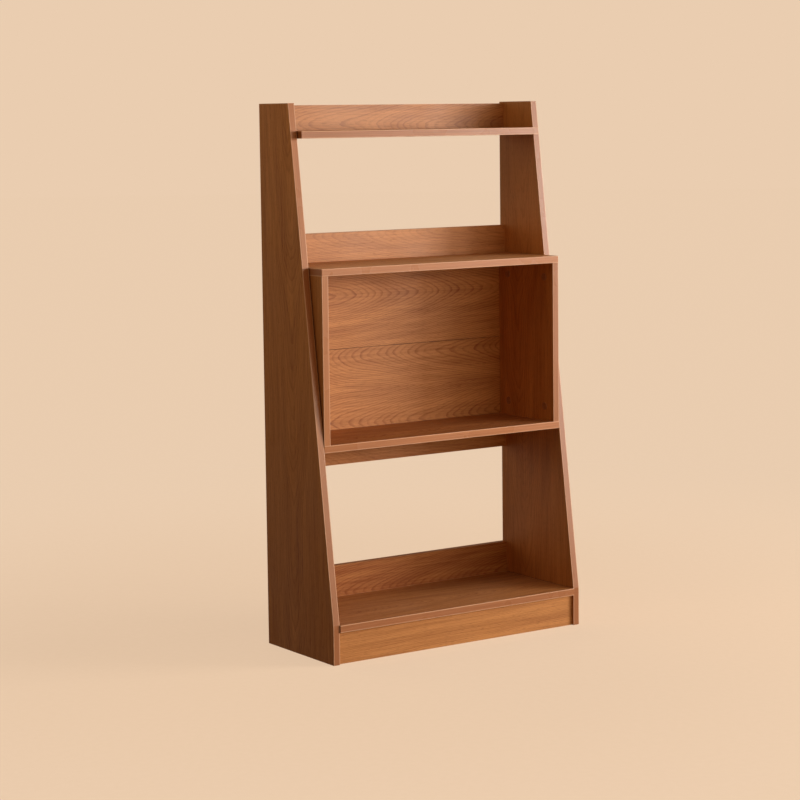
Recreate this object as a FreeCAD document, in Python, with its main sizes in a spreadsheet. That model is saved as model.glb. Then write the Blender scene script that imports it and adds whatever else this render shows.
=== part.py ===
import FreeCAD, Part
import os
import Sketcher
from collections import namedtuple
from FreeCAD import Placement, Rotation, Vector

# Flat-pack bookshelf. Two tapered side panels carry a top shelf, a plumb display box and a base shelf.
# Every board is drawn to its neighbour by cam locks and kept from turning by dowels.
# Frame: origin on the floor below the middle of the overall box, +X to the viewer's right, -Y to the front.
# Lengths are in millimetres. Depths are measured forwards from the shared rear plane.

SIZES = {
    # side panels and boards
    "overall_width": 670,
    "panel_height": 1200,
    "panel_depth_base": 270,
    "panel_depth_top": 120,
    "board_thickness": 16,
    "band_thickness": 1,
    "band_rounding_share": 0.8,
    # base
    "plinth_height": 70,
    "plinth_recess": 6,
    "base_shelf_nose": 3,
    "base_rail_height": 72,
    # display box
    "box_underside": 452,
    "box_opening_height": 364,
    "box_depth": 220,
    "back_seam": 0.6,
    "under_rail_height": 64,
    "mid_rail_height": 64,
    # top tray
    "tray_height": 60,
    "top_shelf_depth": 148,
    "top_rail_height": 56,
    # cam lock, its bolt and its cover
    "fit_clearance": 0.1,
    "cam_diameter": 15,
    "cam_below_bolt": 4.5,
    "cam_setback": 33,
    "cam_slot_length": 8,
    "cam_slot_width": 2.4,
    "cam_slot_depth": 2,
    "bolt_thread_diameter": 4.8,
    "bolt_shank_diameter": 7,
    "bolt_channel_clearance": 0.4,
    "cover_diameter": 17,
    "cover_thickness": 1.2,
    # dowel
    "dowel_diameter": 8,
    "dowel_length": 30,
    "bore_end_gap": 0.4,
    # depth of a bore in a board's face, as a share of the board
    "face_bore_share": 0.7,
    # fitting rows, as shares of the panel's depth at that level
    "shelf_rear_cam_share": 0.2,
    "shelf_dowel_share": 0.5,
    "shelf_front_cam_share": 0.8,
    "box_dowel_share": 0.12,
    "box_rear_cam_share": 0.5,
    "box_front_cam_share": 0.86,
    # fitting rows, as shares of a rail's height
    "rail_cam_share": 0.3,
    "rail_dowel_share": 0.7,
    # fitting rows on the box walls
    "wall_cam_inset": 33,
    "wall_row_gap": 24,
}

# The hidden fittings and their bores repeat many times, so they are prisms with few sides.
# Both counts divide by four, so a fitting matches its bore however the joint is turned.
CAM_SIDES = 12
BAR_SIDES = 8

doc = FreeCAD.newDocument("bookshelf")
sheet = doc.addObject("Spreadsheet::Sheet", "dims")
for row, (alias, size) in enumerate(SIZES.items(), 1):
    sheet.set(f"A{row}", alias)
    sheet.set(f"B{row}", str(size))
    sheet.setAlias(f"B{row}", alias)
doc.recompute()

# Levels and places, worked out from the driving sizes
BOARD = "dims.board_thickness"
HALF_BOARD = "dims.board_thickness / 2"
REAR = "(dims.panel_depth_base + dims.base_shelf_nose) / 2"
INNER_HALF = "(dims.overall_width / 2 - dims.board_thickness)"
BOX_HALF = "(dims.overall_width / 2 - 2 * dims.board_thickness)"
BASE_TOP = "(dims.plinth_height + dims.board_thickness)"
BOX_FLOOR = "(dims.box_underside + dims.board_thickness)"
BOX_MIDDLE = f"({BOX_FLOOR} + dims.box_opening_height / 2)"
BOX_ROOF = f"({BOX_FLOOR} + dims.box_opening_height)"
BOX_TOP = f"({BOX_ROOF} + dims.board_thickness)"
TRAY_FLOOR = "(dims.panel_height - dims.tray_height)"
TOP_SHELF_UNDERSIDE = f"({TRAY_FLOOR} - dims.board_thickness)"
BASE_SHELF_DEPTH = "(dims.panel_depth_base + dims.base_shelf_nose)"
PLINTH_REAR = "(dims.panel_depth_base - dims.plinth_recess - dims.board_thickness)"
BACK_HEIGHT = "(dims.box_opening_height - dims.back_seam) / 2"
BAND_SEAM = "(dims.panel_height - dims.band_thickness)"
UPPER_BACK_LEVEL = f"({BOX_MIDDLE} + dims.back_seam / 2)"
UNDER_RAIL_LEVEL = "(dims.box_underside - dims.under_rail_height)"

# Bores and fits, in the frame of a joint
CAM_FLOOR = "(-dims.cam_below_bolt)"
FACE_DEPTH = "dims.board_thickness * dims.face_bore_share"
FACE_BORE_DEPTH = f"({FACE_DEPTH} + dims.bore_end_gap)"
DOWEL_START = f"({FACE_DEPTH} - dims.dowel_length)"


def panel_depth_at(level):
    """Depth of the side panel at a level above its upright foot, where the front edge slants back."""
    run = "(dims.panel_depth_base - dims.panel_depth_top)"
    rise = f"(dims.panel_height - {BASE_TOP})"
    return f"(dims.panel_depth_base - {run} * ({level} - {BASE_TOP}) / {rise})"


# Fitting rows, as depths from the rear plane
TOP_SHELF_SPAN = panel_depth_at(f"({TRAY_FLOOR} - {HALF_BOARD})")
BOX_SPAN = panel_depth_at(f"({BOX_ROOF} + {HALF_BOARD})")
WALL_REAR_ROW = "(dims.board_thickness + dims.wall_cam_inset)"
WALL_FRONT_ROW = "(dims.box_depth - dims.wall_cam_inset)"
BOX_DOWEL_ROW = f"({BOX_SPAN} * dims.box_dowel_share)"
BOX_REAR_ROW = f"({BOX_SPAN} * dims.box_rear_cam_share)"
BOX_FRONT_ROW = f"min({BOX_SPAN} * dims.box_front_cam_share; {WALL_FRONT_ROW} - dims.wall_row_gap)"
WALL_DOWEL_ROW = f"(({BOX_REAR_ROW} + {BOX_FRONT_ROW}) / 2)"

subparts = []
Joint = namedtuple("Joint", "place outwards cam_face")
UP = Vector(0, 0, 1)
DOWN = Vector(0, 0, -1)
BACKWARDS = Vector(0, 1, 0)
SIDEWAYS = Vector(1, 0, 0)


# Drawing helpers

def add_body(name, place):
    """A body whose placement follows three expressions."""
    body = doc.addObject("PartDesign::Body", name)
    body.Label = name
    for axis, expression in zip("xyz", place):
        body.setExpression(f"Placement.Base.{axis}", expression)
    return body


def add_subpart(name, place):
    """A body that is one piece of the bookshelf."""
    body = add_body(name, place)
    subparts.append(body)
    return body


def origin_plane(body, role):
    return next(item for item in body.Origin.OriginFeatures if item.Role == role)


def add_sketch(body, name, role, offset="0"):
    """A sketch on one of the body's own origin planes, moved along its normal by offset."""
    sketch = body.newObject("Sketcher::SketchObject", f"{body.Name}_{name}_sketch")
    sketch.AttachmentSupport = [(origin_plane(body, role), "")]
    sketch.MapMode = "FlatFace"
    sketch.setExpression("AttachmentOffset.Base.z", offset)
    return sketch


def bind(sketch, constraint, name, expression):
    """Adds a named constraint whose value follows an expression."""
    index = sketch.addConstraint(constraint)
    sketch.renameConstraint(index, name)
    sketch.setExpression(f"Constraints.{name}", expression)


def pin(sketch, geometry, point, start, place):
    """Holds one sketch point at a place given as two expressions from the sketch's origin."""
    for axis, value, expression in zip("XY", (start.x, start.y), place):
        distance = Sketcher.Constraint(f"Distance{axis}", -1, 1, geometry, point, value)
        bind(sketch, distance, f"p{geometry}{axis.lower()}", expression)


def add_polygon(sketch, corners):
    """A closed outline through corners given as pairs of expressions, drawn first as a unit polygon."""
    count = len(corners)
    turn = Rotation(Vector(0, 0, 1), 360 / count)
    starts = [Vector(1, 0, 0)]
    for _ in corners[1:]:
        starts.append(turn.multVec(starts[-1]))
    for index, start in enumerate(starts):
        sketch.addGeometry(Part.LineSegment(start, starts[(index + 1) % count]))
    for index in range(count):
        sketch.addConstraint(Sketcher.Constraint("Coincident", index, 2, (index + 1) % count, 1))
    for index, (start, corner) in enumerate(zip(starts, corners)):
        pin(sketch, index, 1, start, corner)


def add_rectangle(sketch, low, high):
    add_polygon(sketch, [low, (high[0], low[1]), high, (low[0], high[1])])


def add_circle(sketch, centre, diameter):
    """A circle, drawn first as a unit circle."""
    start = Vector(0, 0, 0)
    sketch.addGeometry(Part.Circle(start, Vector(0, 0, 1), 1))
    pin(sketch, 0, 3, start, centre)
    bind(sketch, Sketcher.Constraint("Diameter", 0, 2), "across", diameter)


def add_prism(body, name, role, place, diameter, height, sides):
    """A regular prism that starts at a place given from one of the body's origin planes, along its normal."""
    feature = body.newObject("PartDesign::AdditivePrism", f"{body.Name}_{name}_prism")
    feature.AttachmentSupport = [(origin_plane(body, role), "")]
    feature.MapMode = "FlatFace"
    feature.Polygon = sides
    for axis, expression in zip("xyz", place):
        feature.setExpression(f"AttachmentOffset.Base.{axis}", expression)
    feature.setExpression("Circumradius", f"({diameter}) / 2")
    feature.setExpression("Height", height)
    doc.recompute()


def pad(body, sketch, length, backwards=False):
    feature = body.newObject("PartDesign::Pad", f"{sketch.Name}_pad")
    feature.Profile = sketch
    feature.Reversed = backwards
    feature.setExpression("Length", length)
    doc.recompute()


def cut(body, sketch, depth, forwards=False):
    """Cuts a sketch into the body, against the sketch's normal unless forwards is set."""
    before = body.Shape.Volume
    feature = body.newObject("PartDesign::Pocket", f"{sketch.Name}_cut")
    feature.Profile = sketch
    feature.Reversed = forwards
    feature.setExpression("Length", depth)
    doc.recompute()
    if not body.Shape.Volume < before:
        raise RuntimeError(f"{feature.Name} cut nothing")


def round_front(body, side):
    """Rounds the long front arrises of a band, between its front and its two faces along side."""
    base = body.Tip
    shape = base.Shape
    edges = []
    for index, edge in enumerate(shape.Edges, 1):
        normals = [face.normalAt(0, 0) for face in shape.ancestorsOfType(edge, Part.Face)]
        fronts = [normal for normal in normals if normal.y < -abs(normal.x) - abs(normal.z)]
        sides = [normal for normal in normals if abs(normal.dot(side)) > abs(normal.y)]
        if fronts and sides:
            edges.append(f"Edge{index}")
    feature = body.newObject("PartDesign::Fillet", f"{body.Name}_rounding")
    feature.Base = (base, edges)
    feature.setExpression("Radius", "dims.band_thickness * dims.band_rounding_share")
    body.Tip = feature
    doc.recompute()


# Fittings and their bores, each drawn once in the frame of its joint. The joint's plane is x = 0, the
# neighbour lies towards +X, the bolt runs along X at mid-thickness and the cam shows on the +Z face.

def add_bar(body, name, start, end, diameter):
    """A bar along the joint's X axis."""
    add_prism(body, name, "YZ_Plane", ("0", "0", start), diameter, f"{end} - ({start})", BAR_SIDES)


def add_disc(body, diameter, floor):
    """A cam's disc, from its floor up to the board's face."""
    place = ("-dims.cam_setback", "0", floor)
    add_prism(body, "disc", "XY_Plane", place, diameter, f"{HALF_BOARD} - ({floor})", CAM_SIDES)


def make_cam():
    """Cam disc with the jaw that takes the bolt's end and a slot for the screwdriver."""
    cam = add_body("cam_lock", ("0", "0", "0"))
    add_disc(cam, "dims.cam_diameter", CAM_FLOOR)
    jaw = add_sketch(cam, "jaw", "XY_Plane", CAM_FLOOR)
    half_jaw = "(dims.bolt_shank_diameter / 2 + dims.fit_clearance)"
    rim = "dims.cam_diameter / 2 - dims.cam_setback"
    add_rectangle(jaw, ("-dims.cam_setback - dims.bore_end_gap", f"-{half_jaw}"), (rim, half_jaw))
    cut(cam, jaw, f"{half_jaw} - {CAM_FLOOR}", forwards=True)
    slot = add_sketch(cam, "slot", "XY_Plane", HALF_BOARD)
    half_width = "dims.cam_slot_width / 2"
    low = ("-dims.cam_setback - dims.cam_slot_length / 2", f"-{half_width}")
    add_rectangle(slot, low, ("-dims.cam_setback + dims.cam_slot_length / 2", half_width))
    cut(cam, slot, "dims.cam_slot_depth")
    return cam


def make_cover():
    """Push-in cover: a disc over the cam with a key that plugs into the cam's slot."""
    cover = add_body("cam_cover", ("0", "0", "0"))
    disc = add_sketch(cover, "disc", "XY_Plane", HALF_BOARD)
    add_circle(disc, ("-dims.cam_setback", "0"), "dims.cover_diameter")
    pad(cover, disc, "dims.cover_thickness")
    key = add_sketch(cover, "key", "XY_Plane", HALF_BOARD)
    half_length = "(dims.cam_slot_length / 2 - dims.fit_clearance)"
    half_width = "(dims.cam_slot_width / 2 - dims.fit_clearance)"
    low = (f"-dims.cam_setback - {half_length}", f"-{half_width}")
    add_rectangle(key, low, (f"-dims.cam_setback + {half_length}", half_width))
    pad(cover, key, "dims.cam_slot_depth - dims.fit_clearance", backwards=True)
    return cover


def make_bolt():
    """Cam bolt: thread in the neighbour's face, shank along the channel into the cam's jaw."""
    bolt = add_body("cam_bolt", ("0", "0", "0"))
    add_bar(bolt, "shank", "-dims.cam_setback", "0", "dims.bolt_shank_diameter")
    add_bar(bolt, "thread", "0", FACE_DEPTH, "dims.bolt_thread_diameter")
    return bolt


def make_cam_bores():
    """What a cam joint takes out: the cam's bore and channel on one side, the pilot hole on the other."""
    bores = add_body("cam_bores", ("0", "0", "0"))
    add_disc(bores, "dims.cam_diameter + 2 * dims.fit_clearance", f"{CAM_FLOOR} - dims.fit_clearance")
    channel = "dims.bolt_shank_diameter + 2 * dims.bolt_channel_clearance"
    add_bar(bores, "channel", "-dims.cam_setback", "0", channel)
    pilot = "dims.bolt_thread_diameter + 2 * dims.fit_clearance"
    add_bar(bores, "pilot", "0", FACE_BORE_DEPTH, pilot)
    return bores


def make_dowel():
    """Dowel with its short end in the neighbour's face."""
    dowel = add_body("dowel", ("0", "0", "0"))
    add_bar(dowel, "pin", DOWEL_START, FACE_DEPTH, "dims.dowel_diameter")
    return dowel


def make_dowel_bores():
    """What a dowel joint takes out of both boards."""
    bores = add_body("dowel_bores", ("0", "0", "0"))
    across = "dims.dowel_diameter + 2 * dims.fit_clearance"
    add_bar(bores, "socket", f"{DOWEL_START} - dims.bore_end_gap", FACE_BORE_DEPTH, across)
    return bores


CAM = make_cam()
COVER = make_cover()
BOLT = make_bolt()
CAM_BORES = make_cam_bores()
DOWEL = make_dowel()
DOWEL_BORES = make_dowel_bores()


def place_copies(name, master, joints):
    """A group of equal copies of a master, one at each joint."""
    links = []
    for joint in joints:
        link = doc.addObject("App::Link", f"{name}_link")
        link.LinkedObject = master
        link.LinkTransform = True
        link.Placement = Placement(Vector(), Rotation(joint.outwards, Vector(), joint.cam_face, "XZY"))
        for axis, expression in zip("xyz", joint.place):
            link.setExpression(f"Placement.Base.{axis}", expression)
        links.append(link)
    group = doc.addObject("Part::Compound", name)
    group.Label = name
    group.Links = links
    return group


def place_fittings(name, cams, dowels):
    """The cams, bolts and dowels of one board or pair of boards."""
    subparts.append(place_copies(f"{name}_cams", CAM, cams))
    subparts.append(place_copies(f"{name}_cam_bolts", BOLT, cams))
    subparts.append(place_copies(f"{name}_dowels", DOWEL, dowels))


def bore_board(name, blank, cams, dowels):
    """The finished board: its blank with the bores of every joint that it takes part in."""
    bores = doc.addObject("Part::Compound", f"{name}_bores")
    cam_bores = place_copies(f"{name}_cam_bores", CAM_BORES, cams)
    bores.Links = [cam_bores, place_copies(f"{name}_dowel_bores", DOWEL_BORES, dowels)]
    board = doc.addObject("Part::Cut", name)
    board.Label = name
    board.Base = blank
    board.Tool = bores
    subparts.append(board)


def both_ends(half, depth, level, cam_face):
    """The two joints where a board of that half length meets its neighbours along X."""
    across = f"{REAR} - {depth}"
    right = Joint((half, across, level), SIDEWAYS, cam_face)
    left = Joint((f"-{half}", across, level), -SIDEWAYS, cam_face)
    return [right, left]


def facing(joints, way):
    """The joints whose neighbour lies that way."""
    return [joint for joint in joints if joint.outwards.dot(way) > 0]


# Level boards between the side panels

def shelf_joints(level, cam_rows, dowel_rows):
    """The joints at both ends of a shelf, its cams underneath."""
    middle = f"({level} + {HALF_BOARD})"
    cams = [joint for row in cam_rows for joint in both_ends(INNER_HALF, row, middle, DOWN)]
    dowels = [joint for row in dowel_rows for joint in both_ends(INNER_HALF, row, middle, DOWN)]
    return cams, dowels


def add_shelf_blank(name, level, depth):
    body = add_body(f"{name}_blank", ("0", REAR, level))
    outline = add_sketch(body, "outline", "XY_Plane")
    add_rectangle(outline, (f"-{INNER_HALF}", f"-({depth} - dims.band_thickness)"), (INNER_HALF, "0"))
    pad(body, outline, BOARD)
    return body


def add_shelf_band(name, level, depth):
    """The strip glued along a shelf's nose."""
    body = add_subpart(name, (f"-{INNER_HALF}", f"{REAR} - {depth}", level))
    section = add_sketch(body, "section", "YZ_Plane")
    add_rectangle(section, ("0", "0"), ("dims.band_thickness", BOARD))
    pad(body, section, f"2 * {INNER_HALF}")
    round_front(body, UP)


# Upright boards across the rear, and the plinth

def rail_joints(level, height, half, depth="0"):
    """The joints at both ends of a rail whose rear face lies at depth, its cams in that face."""
    middle = f"({depth} + {HALF_BOARD})"
    cams = both_ends(half, middle, f"({level} + {height} * dims.rail_cam_share)", BACKWARDS)
    dowels = both_ends(half, middle, f"({level} + {height} * dims.rail_dowel_share)", BACKWARDS)
    return cams, dowels


def add_rail_blank(name, level, height, half, depth="0"):
    body = add_body(f"{name}_blank", ("0", f"{REAR} - {depth}", level))
    outline = add_sketch(body, "outline", "XZ_Plane")
    add_rectangle(outline, (f"-{half}", "0"), (half, height))
    pad(body, outline, BOARD)
    return body


# Boards that stand fore and aft. Their sketches start on the inner face, and side is -1 left or 1 right.

def wall_joints(side):
    """The joints at the top and bottom of a box wall, its cams in the inner face."""
    across = f"{side} * ({BOX_HALF} + {HALF_BOARD})"
    inwards = -side * SIDEWAYS
    ends = [(BOX_ROOF, UP), (BOX_FLOOR, DOWN)]
    rows = [f"{REAR} - {row}" for row in (WALL_REAR_ROW, WALL_FRONT_ROW)]
    middle_row = f"{REAR} - {WALL_DOWEL_ROW}"
    cams = [Joint((across, row, level), way, inwards) for row in rows for level, way in ends]
    dowels = [Joint((across, middle_row, level), way, inwards) for level, way in ends]
    return cams, dowels


def add_wall_blank(name, side):
    body = add_body(f"{name}_blank", (f"{side} * {BOX_HALF}", REAR, BOX_FLOOR))
    outline = add_sketch(body, "outline", "YZ_Plane")
    front = "-(dims.box_depth - dims.band_thickness)"
    add_rectangle(outline, (front, "0"), ("0", "dims.box_opening_height"))
    pad(body, outline, BOARD, backwards=side < 0)
    return body


def add_wall_band(name, side):
    """The strip glued along the front of a box wall."""
    place = (f"{side} * {BOX_HALF}", f"{REAR} - dims.box_depth", BOX_FLOOR)
    body = add_subpart(name, place)
    section = add_sketch(body, "section", "YZ_Plane")
    add_rectangle(section, ("0", "0"), ("dims.band_thickness", "dims.box_opening_height"))
    pad(body, section, BOARD, backwards=side < 0)
    round_front(body, SIDEWAYS)


def add_panel_blank(name, side):
    """A tapered side panel, upright as far as the base shelf's top."""
    body = add_body(f"{name}_blank", (f"{side} * {INNER_HALF}", REAR, "0"))
    foot = "-(dims.panel_depth_base - dims.band_thickness)"
    head = f"-({panel_depth_at(BAND_SEAM)} - dims.band_thickness)"
    outline = add_sketch(body, "outline", "YZ_Plane")
    add_polygon(outline, [("0", "0"), ("0", BAND_SEAM), (head, BAND_SEAM), (foot, BASE_TOP), (foot, "0")])
    pad(body, outline, BOARD, backwards=side < 0)
    return body


def add_panel_bands(name, side):
    """The strips glued along a side panel's front, bent where the slant starts, and along its top."""
    place = (f"{side} * {INNER_HALF}", REAR, "0")
    outer = ["-dims.panel_depth_base", "-dims.panel_depth_base", f"-{panel_depth_at(BAND_SEAM)}"]
    levels = ["0", BASE_TOP, BAND_SEAM]
    front = add_subpart(f"{name}_front_band", place)
    strip = add_sketch(front, "strip", "YZ_Plane")
    inner = [(f"{depth} + dims.band_thickness", level) for depth, level in zip(outer, levels)]
    add_polygon(strip, [*zip(outer, levels), *reversed(inner)])
    pad(front, strip, BOARD, backwards=side < 0)
    round_front(front, SIDEWAYS)
    top = add_subpart(f"{name}_top_band", place)
    cap = add_sketch(top, "cap", "YZ_Plane")
    crest = "dims.panel_height"
    front_corners = [("-dims.panel_depth_top", crest), (outer[-1], BAND_SEAM)]
    add_polygon(cap, [("0", BAND_SEAM), ("0", crest), *front_corners])
    pad(top, cap, BOARD, backwards=side < 0)


# The boards between the panels

def shelf_rows(span):
    """Cam rows and dowel rows of a shelf over the depth of panel that backs its ends."""
    cams = [f"({span} * dims.shelf_rear_cam_share)", f"({span} * dims.shelf_front_cam_share)"]
    return cams, [f"({span} * dims.shelf_dowel_share)"]


panel_cams = []
panel_dowels = []


def add_shelf(name, level, depth, rows):
    """A shelf that hangs between the panels by its own joints alone."""
    cams, dowels = shelf_joints(level, *rows)
    bore_board(name, add_shelf_blank(name, level, depth), cams, dowels)
    add_shelf_band(f"{name}_band", level, depth)
    place_fittings(name, cams, dowels)
    panel_cams.extend(cams)
    panel_dowels.extend(dowels)


def add_rail(name, fittings, level, height, depth="0"):
    """A rail between the panels."""
    cams, dowels = rail_joints(level, height, INNER_HALF, depth)
    bore_board(name, add_rail_blank(name, level, height, INNER_HALF, depth), cams, dowels)
    place_fittings(fittings, cams, dowels)
    panel_cams.extend(cams)
    panel_dowels.extend(dowels)


add_shelf("top_shelf", TOP_SHELF_UNDERSIDE, "dims.top_shelf_depth", shelf_rows(TOP_SHELF_SPAN))
add_shelf("bottom_shelf", "dims.plinth_height", BASE_SHELF_DEPTH, shelf_rows("dims.panel_depth_base"))
add_rail("top_back_rail", "top_rail", TRAY_FLOOR, "dims.top_rail_height")
add_rail("mid_back_rail", "mid_rail", BOX_TOP, "dims.mid_rail_height")
add_rail("under_box_rail", "under_rail", UNDER_RAIL_LEVEL, "dims.under_rail_height")
add_rail("base_back_rail", "base_rail", BASE_TOP, "dims.base_rail_height")
add_rail("plinth", "plinth", "0", "dims.plinth_height", PLINTH_REAR)

# The display box: two walls between two boards, and a back in two pieces between the walls
left_cams, left_dowels = wall_joints(-1)
right_cams, right_dowels = wall_joints(1)
wall_cams = left_cams + right_cams
wall_dowels = left_dowels + right_dowels
place_fittings("box_wall", wall_cams, wall_dowels)
subparts.append(place_copies("box_wall_cam_covers", COVER, wall_cams))

board_cams = []
board_dowels = []
for part, level, way in (("top", BOX_ROOF, UP), ("bottom", "dims.box_underside", DOWN)):
    cams, dowels = shelf_joints(level, [BOX_REAR_ROW, BOX_FRONT_ROW], [BOX_DOWEL_ROW])
    board_cams += cams
    board_dowels += dowels
    name = f"box_{part}_board"
    blank = add_shelf_blank(name, level, "dims.box_depth")
    bore_board(name, blank, cams + facing(wall_cams, way), dowels + facing(wall_dowels, way))
    add_shelf_band(f"box_{part}_band", level, "dims.box_depth")
place_fittings("box_board", board_cams, board_dowels)
panel_cams += board_cams
panel_dowels += board_dowels

back_cams = []
back_dowels = []
for part, level in (("upper", UPPER_BACK_LEVEL), ("lower", BOX_FLOOR)):
    cams, dowels = rail_joints(level, BACK_HEIGHT, BOX_HALF)
    back_cams += cams
    back_dowels += dowels
    name = f"box_{part}_back"
    bore_board(name, add_rail_blank(name, level, BACK_HEIGHT, BOX_HALF), cams, dowels)
place_fittings("box_back", back_cams, back_dowels)

# The boards that stand fore and aft take the bores of all that meets them
own_joints = {-1: (left_cams, left_dowels), 1: (right_cams, right_dowels)}
for hand, side in (("left", -1), ("right", 1)):
    way = side * SIDEWAYS
    cams, dowels = own_joints[side]
    wall = f"box_{hand}_wall"
    blank = add_wall_blank(wall, side)
    bore_board(wall, blank, cams + facing(back_cams, way), dowels + facing(back_dowels, way))
    add_wall_band(f"{wall}_band", side)
    panel = f"{hand}_side_panel"
    blank = add_panel_blank(panel, side)
    bore_board(panel, blank, facing(panel_cams, way), facing(panel_dowels, way))
    add_panel_bands(f"{hand}_panel", side)

doc.recompute()

# Nothing is written unless every object is sound
for item in doc.Objects:
    if {"Invalid", "Error"} & set(item.State):
        raise RuntimeError(f"{item.Label} did not build")
for subpart in subparts:
    if subpart.Shape.isNull() or not subpart.Shape.isValid():
        raise RuntimeError(f"{subpart.Label} has no valid shape")
    if subpart.TypeId == "Part::Cut" and not subpart.Shape.Volume < subpart.Base.Shape.Volume:
        raise RuntimeError(f"{subpart.Label} has no bores")

os.makedirs("parts", exist_ok=True)
for subpart in subparts:
    subpart.Shape.exportStep(f"parts/{subpart.Label}.step")
    print(subpart.Label, len(subpart.Shape.Solids), round(subpart.Shape.Volume))
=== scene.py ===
import math
from collections import namedtuple

import bmesh
import bpy
from mathutils import Matrix, Vector


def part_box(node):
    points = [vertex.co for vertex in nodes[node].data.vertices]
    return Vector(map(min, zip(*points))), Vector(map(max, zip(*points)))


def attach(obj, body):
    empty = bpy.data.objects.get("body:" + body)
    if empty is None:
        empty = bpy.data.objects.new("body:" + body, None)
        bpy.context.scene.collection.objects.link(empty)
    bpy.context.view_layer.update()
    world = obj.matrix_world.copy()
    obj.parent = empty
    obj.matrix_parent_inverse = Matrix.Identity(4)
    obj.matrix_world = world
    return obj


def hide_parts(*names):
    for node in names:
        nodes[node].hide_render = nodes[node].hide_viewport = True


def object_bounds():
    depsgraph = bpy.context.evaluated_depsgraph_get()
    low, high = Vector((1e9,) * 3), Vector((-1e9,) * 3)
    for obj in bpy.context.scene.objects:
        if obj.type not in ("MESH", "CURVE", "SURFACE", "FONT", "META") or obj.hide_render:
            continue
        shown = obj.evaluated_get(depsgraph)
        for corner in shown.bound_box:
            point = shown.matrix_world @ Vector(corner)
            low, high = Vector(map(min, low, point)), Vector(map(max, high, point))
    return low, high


# Looks of a flat-pack bookshelf: oak-faced boards, glued edge bands, cam locks and their push-in covers.
# Metres, in the frame of the solids: origin on the floor, +X to the viewer's right, -Y to the front.

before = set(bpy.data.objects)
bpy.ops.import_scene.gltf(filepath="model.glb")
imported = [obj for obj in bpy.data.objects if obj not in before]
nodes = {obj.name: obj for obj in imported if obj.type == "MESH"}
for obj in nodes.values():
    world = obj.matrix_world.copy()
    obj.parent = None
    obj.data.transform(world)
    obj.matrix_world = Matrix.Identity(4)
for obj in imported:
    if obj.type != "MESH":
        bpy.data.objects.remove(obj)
solid_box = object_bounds()

MM = 0.001
BODY = "root"

# Ways in which the face of a fitting can look
UP = Vector((0, 0, 1))
DOWN = Vector((0, 0, -1))
BACKWARDS = Vector((0, 1, 0))

# Order of the frame's axes on a board: along the grain, across it, through the board
LEVEL_BOARD = "XYZ"
CROSS_BOARD = "XZY"
UPRIGHT_BOARD = "ZYX"

# Oak facing, from the pale early wood to the dark late wood
OAK_PALE = "#c5854c"
OAK_DARK = "#864a22"
OAK_PORE = "#5a2c10"
OAK_WORN = "#d09a6c"
# Dark of the joints, also used for the painted shade in front of the panel edges
OAK_SEAM_AND_SHADE = "#3f1d0a"
# Edge band, a plain pinkish strip
BAND_PALE = "#b5764c"
BAND_DARK = "#9d623c"
# Pale arrises of the bands: partly wear, partly painted highlight
BAND_WEAR_AND_HIGHLIGHT = "#dcab88"
# Fittings
ZINC_PALE = "#b9b8b2"
ZINC_DARK = "#7f7e7a"
STEEL_PALE = "#c9c3a8"
STEEL_DARK = "#98906f"
BEECH_PALE = "#d9b98e"
BEECH_DARK = "#b8905f"
COVER_PALE = "#a2673c"
COVER_DARK = "#8a5430"
# Surroundings
PAPER = "#eacdb0"
PAPER_FIBRE = "#dcbf9c"
PAPER_BOUNCE = "#4d3520"

# What a board's facing was cut from. Grain is the order of its axes, heart the middle of the arched figure
# across the board, plank the distance to the next one, nearness how far the cut runs from the tree's
# heart, lean its change per metre, figure how strong the rings show, tone how much darker the sheet is
# than the rest, sheen its gloss, and seed sets its noise apart from that of other boards. Tone is partly
# painted light and shade: darker on the two level shelves and the box's bottom board as painted shade,
# lighter on the box's top board as painted light.
Oak = namedtuple("Oak", "grain heart plank nearness lean figure tone sheen seed")

OAK_BOARDS = {
    "left_side_panel": Oak(UPRIGHT_BOARD, 0.02, 0.24, 0.02, 0.06, 0.5, 0.0, 0.09, 1.0),
    "right_side_panel": Oak(UPRIGHT_BOARD, 0.05, 0.22, 0.03, -0.06, 0.35, -0.16, 0.2, 2.0),
    "box_left_wall": Oak(UPRIGHT_BOARD, 0.02, 0.20, 0.02, 0.07, 0.5, 0.1, 0.13, 3.0),
    "box_right_wall": Oak(UPRIGHT_BOARD, 0.05, 0.20, 0.08, -0.07, 0.5, 0.1, 0.18, 4.0),
    "top_shelf": Oak(LEVEL_BOARD, 0.06, 0.20, 0.04, 0.09, 0.7, 0.2, 0.06, 5.0),
    "box_top_board": Oak(LEVEL_BOARD, 0.02, 0.20, 0.04, -0.09, 0.7, -0.25, 0.4, 6.0),
    "box_bottom_board": Oak(LEVEL_BOARD, -0.01, 0.20, 0.04, 0.09, 0.6, 0.28, 0.17, 7.0),
    "bottom_shelf": Oak(LEVEL_BOARD, -0.04, 0.22, 0.04, 0.09, 0.6, 0.24, 0.2, 8.0),
    "top_back_rail": Oak(CROSS_BOARD, 1.151, 0.24, 0.045, -0.11, 0.7, 0.08, 0.42, 9.0),
    "mid_back_rail": Oak(CROSS_BOARD, 0.905, 0.24, 0.05, -0.08, 0.45, 0.04, 0.42, 10.0),
    "box_upper_back": Oak(CROSS_BOARD, 0.766, 0.30, 0.045, 0.11, 0.9, 0.05, 0.25, 11.0),
    "box_lower_back": Oak(CROSS_BOARD, 0.633, 0.15, 0.045, -0.11, 0.9, 0.05, 0.25, 12.0),
    "under_box_rail": Oak(CROSS_BOARD, 0.380, 0.24, 0.04, 0.08, 0.35, 0.2, 0.2, 13.0),
    "base_back_rail": Oak(CROSS_BOARD, 0.092, 0.24, 0.045, -0.11, 0.65, 0.5, 0.15, 14.0),
    "plinth": Oak(CROSS_BOARD, -0.05, 0.30, 0.02, 0.03, 0.6, -0.03, 0.15, 15.0),
}
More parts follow.
